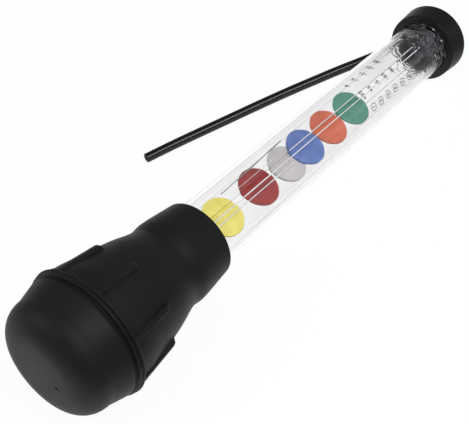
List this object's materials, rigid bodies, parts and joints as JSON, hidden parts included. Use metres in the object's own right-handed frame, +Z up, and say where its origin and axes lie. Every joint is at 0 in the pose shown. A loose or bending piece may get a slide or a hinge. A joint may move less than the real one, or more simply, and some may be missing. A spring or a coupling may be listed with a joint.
{
  "type": "coolant tester",
  "caption": "Hand-held coolant hydrometer: rubber squeeze bulb, clear barrel with loose coloured float discs and a printed scale, rubber end cap and a thin flexible hose.",
  "frame": {"origin": "middle of the tester's footprint without its hose, on the surface that it lies on", "axes": "+X from the squeeze bulb to the end cap, +Y to the side where the hose lies, +Z up"},
  "size_m": [0.2876, 0.1303, 0.0506],
  "materials": {
    "bulb_rubber": "satin moulded rubber",
    "cap_rubber": "satin moulded rubber",
    "hose_black": "glossy flexible tube",
    "barrel_clear": "clear, polished",
    "cage_clear": "clear, polished",
    "stop_clear": "clear",
    "plug_clear": "clear, faintly tinted",
    "scale_ink": "printed ink on the barrel",
    "disc_yellow_plastic": "smooth",
    "disc_red_plastic": "smooth",
    "disc_grey_plastic": "smooth",
    "disc_blue_plastic": "smooth",
    "disc_orange_plastic": "smooth",
    "disc_green_plastic": "smooth"
  },
  "bodies": {
    "tester": {"squeeze_bulb": "bulb_rubber", "barrel": "barrel_clear", "disc_cage": "cage_clear", "disc_stop": "stop_clear", "inlet_plug": "plug_clear", "end_cap": "cap_rubber", "hose": "hose_black"},
    "yellow": {"disc_yellow": "disc_yellow_plastic"},
    "red": {"disc_red": "disc_red_plastic"},
    "blue": {"disc_blue": "disc_blue_plastic"},
    "orange": {"disc_orange": "disc_orange_plastic"},
    "green": {"disc_green": "disc_green_plastic"},
    "grey": {"disc_grey": "disc_grey_plastic"}
  },
  "joints": [
    {"name": "yellow_slide", "type": "slide", "parent": "tester", "child": "yellow", "axis": [0.9994, 0, -0.0354], "range_m": [-0.007, 0.012]},
    {"name": "red_slide", "type": "slide", "parent": "yellow", "child": "red", "axis": [0.9994, 0, -0.0354], "range_m": [-0.0052, 0.012]},
    {"name": "blue_slide", "type": "slide", "parent": "red", "child": "blue", "axis": [0.9994, 0, -0.0354], "range_m": [-0.015, 0.012]},
    {"name": "orange_slide", "type": "slide", "parent": "blue", "child": "orange", "axis": [0.9994, 0, -0.0354], "range_m": [0, 0.012]},
    {"name": "green_slide", "type": "slide", "parent": "orange", "child": "green", "axis": [0.9994, 0, -0.0354], "range_m": [-0.0004, 0.012]},
    {"name": "grey_slide", "type": "slide", "parent": "tester", "child": "grey", "axis": [0.9994, 0, -0.0354], "range_m": [-0.0495, 0.108]}
  ]
}
